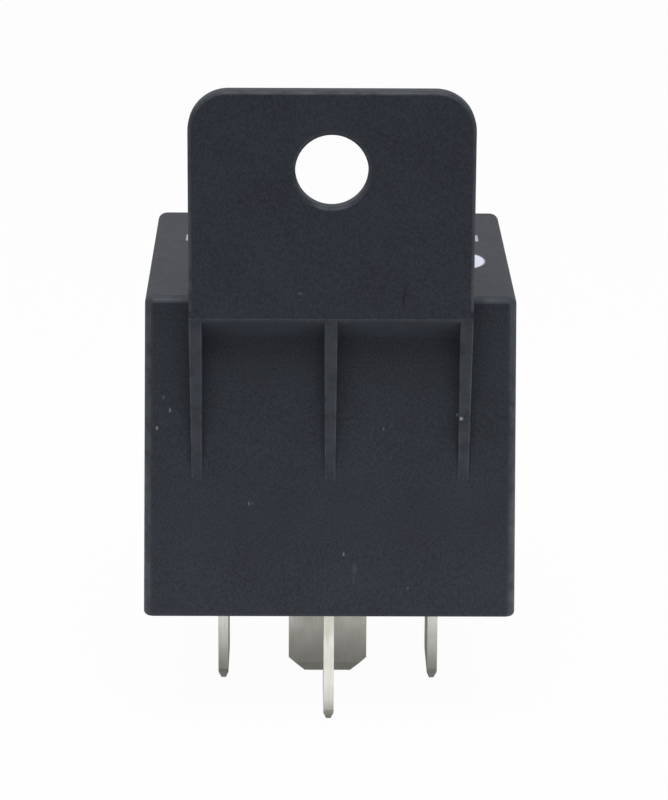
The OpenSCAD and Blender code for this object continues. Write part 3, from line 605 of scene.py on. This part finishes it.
# ---- Cover ----
# One moulding in black glass-filled plastic, with a bracket on a ribbed shelf and a fine
# spark-eroded grain. It snaps over the base. Its front edges and ribs are rubbed, and are painted
# lighter as a highlight where they would catch the light; light scuffs and a scratch lie where it
# was handled, and its roof carries a dot and a bar in pale ink.
PLASTIC_LIGHT, PLASTIC_DARK = (0.0192, 0.0241, 0.0328), (0.0079, 0.0098, 0.0139)
# the edge colour is rubbed wear and also a painted highlight on the rounded front edges and ribs
EDGE_WEAR_AND_HIGHLIGHT, SCUFFED, INK = (0.037, 0.044, 0.054), (0.3, 0.33, 0.36), (0.72, 0.73, 0.84)
SCRATCH_DARK = (0.004, 0.005, 0.007)
COVER_ROUGHNESS, POLISH = (0.54, 0.66), 0.12
COVER_SPECULAR = 0.2
FINE_IN_SHADE, COARSE_IN_SHADE, CLOUDS_IN_SHADE = 0.7, 0.08, 0.22
SHADE_RISE = (0.3, 0.7)
FINE_IN_RELIEF, COARSE_IN_RELIEF = 0.8, 0.2
GRAIN_DEPTH, GRAIN_STRENGTH = 0.03, 0.6
# how far a face looks along an axis: where an effect begins, and where it is full
LOOKS_FORWARD, LOOKS_UP = (-0.9, -0.97), (0.9, 0.97)
ROUNDED, TOWARDS_FRONT, NOT_BELOW = (0.985, 0.9), (0.0, -0.3), (-0.45, -0.25)
RIB_SLOPE = (-0.1, -0.2)
# wear and painted sheen on the ribs against the edges', the heights it rises between, its patches
RIB_SHEEN_AND_WEAR, RIB_SHEEN_AND_WEAR_FROM, WEAR_AND_HIGHLIGHT_PATCHES = 0.5, (10.8, 13.5), (0.2, 0.65)
FRONT_Y, FRONT_REACH = -15.3, 3.0
SCUFF_EDGE = 0.7
SCUFFS = [
    # place on the front, half its width and half its height, how strong
    (-12.1, 16.5, 0.07, 0.16, 0.4),
    (-13.1, 15.1, 0.09, 0.14, 0.42),
    (-12.6, 17.5, 0.1, 0.15, 0.1),
    (9.75, 16.2, 0.2, 0.13, 0.75),
    (1.07, 5.1, 0.06, 0.15, 0.4),
    (6.0, 2.4, 0.08, 0.11, 0.15),
    (-6.15, 9.15, 0.05, 0.16, 0.3),
    (-5.9, 9.15, 0.04, 0.14, 0.15),
    (4.03, 15.1, 0.05, 0.13, 0.25),
    (-2.3, 26.3, 0.17, 0.1, 0.12),
    (1.92, 4.0, 0.16, 0.36, 0.06),
    (1.85, 3.1, 0.1, 0.4, 0.03),
]
SCRATCH_PLACE, SCRATCH_HALF = (5.4, FRONT_Y, 26.1), (0.09, FRONT_REACH, 0.85)
SCRATCH_EDGE, SCRATCH_TURN = 0.6, math.radians(9.6)
DOT_PLACE, DOT_HALF, DOT_EDGE = (10.6, -2.55, 25.3), (1.45, 2.36, 1.0), 0.08
BAR_PLACE, BAR_HALF, BAR_EDGES = (0.24, 4.8, 25.3), (11.64, 1.0, 1.0), (0.005, 0.08)
BAR_INK = 0.55


def measured(place, centre, half, turn=0.0):
    """The way to a place from a centre, in half sizes, after a turn about Y."""
    return place.node(
        "ShaderNodeMapping", {"vector_type": "TEXTURE"},
        {"Vector": place, "Location": centre, "Rotation": (0, turn, 0), "Scale": half})


def spot(place, centre, half, edge, turn=0.0):
    """1 inside an oval about a point and 0 outside it, with a soft edge as a part of its size."""
    away = measured(place, centre, half, turn)
    reach = away.node(
        "ShaderNodeVectorMath", {"operation": "LENGTH"}, {0: away}, "Value")
    return reach.step(1 + edge, 1 - edge)


def band(place, centre, half, edges):
    """1 inside an oblong about a point, as seen from above, and 0 outside it."""
    away = measured(place, centre, half)
    across, deep = (
        away.axis(axis).size().step(1 + edge, 1 - edge) for axis, edge in zip("XY", edges))
    return across * deep


plastic, place = new_finish("cover_plastic")
facing = place.node("ShaderNodeTexCoord", out="Normal")
face_x, face_y, face_z = (facing.axis(axis) for axis in "XYZ")
on_front, on_roof = face_y.step(*LOOKS_FORWARD), face_z.step(*LOOKS_UP)

fine_grain = mottle(stretched(place, along_x=1, along_y=1, along_z=0.8), per_mm=6.5, detail=3)
coarse_grain = mottle(place, per_mm=1.6)
clouds = mottle(place, per_mm=0.22, detail=3)
shade = (
    FINE_IN_SHADE * fine_grain + COARSE_IN_SHADE * coarse_grain
    + CLOUDS_IN_SHADE * clouds).step(*SHADE_RISE)

squareness = facing.maths("MAXIMUM", face_x.size(), face_y.size())
squareness = facing.maths("MAXIMUM", squareness, face_z.size())
# rounded edges that face forward: rubbed wear, with a painted highlight in the same colour
rubbed_and_highlit_edge = squareness.step(*ROUNDED) * face_y.step(*TOWARDS_FRONT)
# the down-sloping rib fronts above their feet: worn, and painted lighter as a sheen
rib_sheen_and_wear = on_front * face_z.step(*RIB_SLOPE) * place.axis("Z").step(*RIB_SHEEN_AND_WEAR_FROM)
patches = mottle(place, per_mm=0.9, detail=3).step(*WEAR_AND_HIGHLIGHT_PATCHES)
# wear and painted highlight together: a lighter colour, and a lower roughness, in patches
wear_and_highlight = (rubbed_and_highlit_edge + RIB_SHEEN_AND_WEAR * rib_sheen_and_wear) * face_z.step(*NOT_BELOW) * patches
colour = wear_and_highlight.blend(shade.blend(PLASTIC_DARK, PLASTIC_LIGHT), EDGE_WEAR_AND_HIGHLIGHT)

scratch = spot(place, SCRATCH_PLACE, SCRATCH_HALF, SCRATCH_EDGE, SCRATCH_TURN) * on_front
colour = scratch.blend(colour, SCRATCH_DARK)
scuffs = 0.0
for x, z, half_width, half_height, strength in SCUFFS:
    scuff_half = (half_width, FRONT_REACH, half_height)
    scuffs = scuffs + strength * spot(place, (x, FRONT_Y, z), scuff_half, SCUFF_EDGE)
colour = (scuffs * on_front).blend(colour, SCUFFED)

dot = spot(place, DOT_PLACE, DOT_HALF, DOT_EDGE)
bar = band(place, BAR_PLACE, BAR_HALF, BAR_EDGES)
colour = ((dot + BAR_INK * bar) * on_roof).blend(colour, INK)
surface(
    colour, coarse_grain.between(*COVER_ROUGHNESS) - POLISH * wear_and_highlight,
    relief(
        FINE_IN_RELIEF * fine_grain + COARSE_IN_RELIEF * coarse_grain, GRAIN_DEPTH,
        GRAIN_STRENGTH),
    {"Specular IOR Level": COVER_SPECULAR})
put_on(plastic, "cover_plastic", "cover")
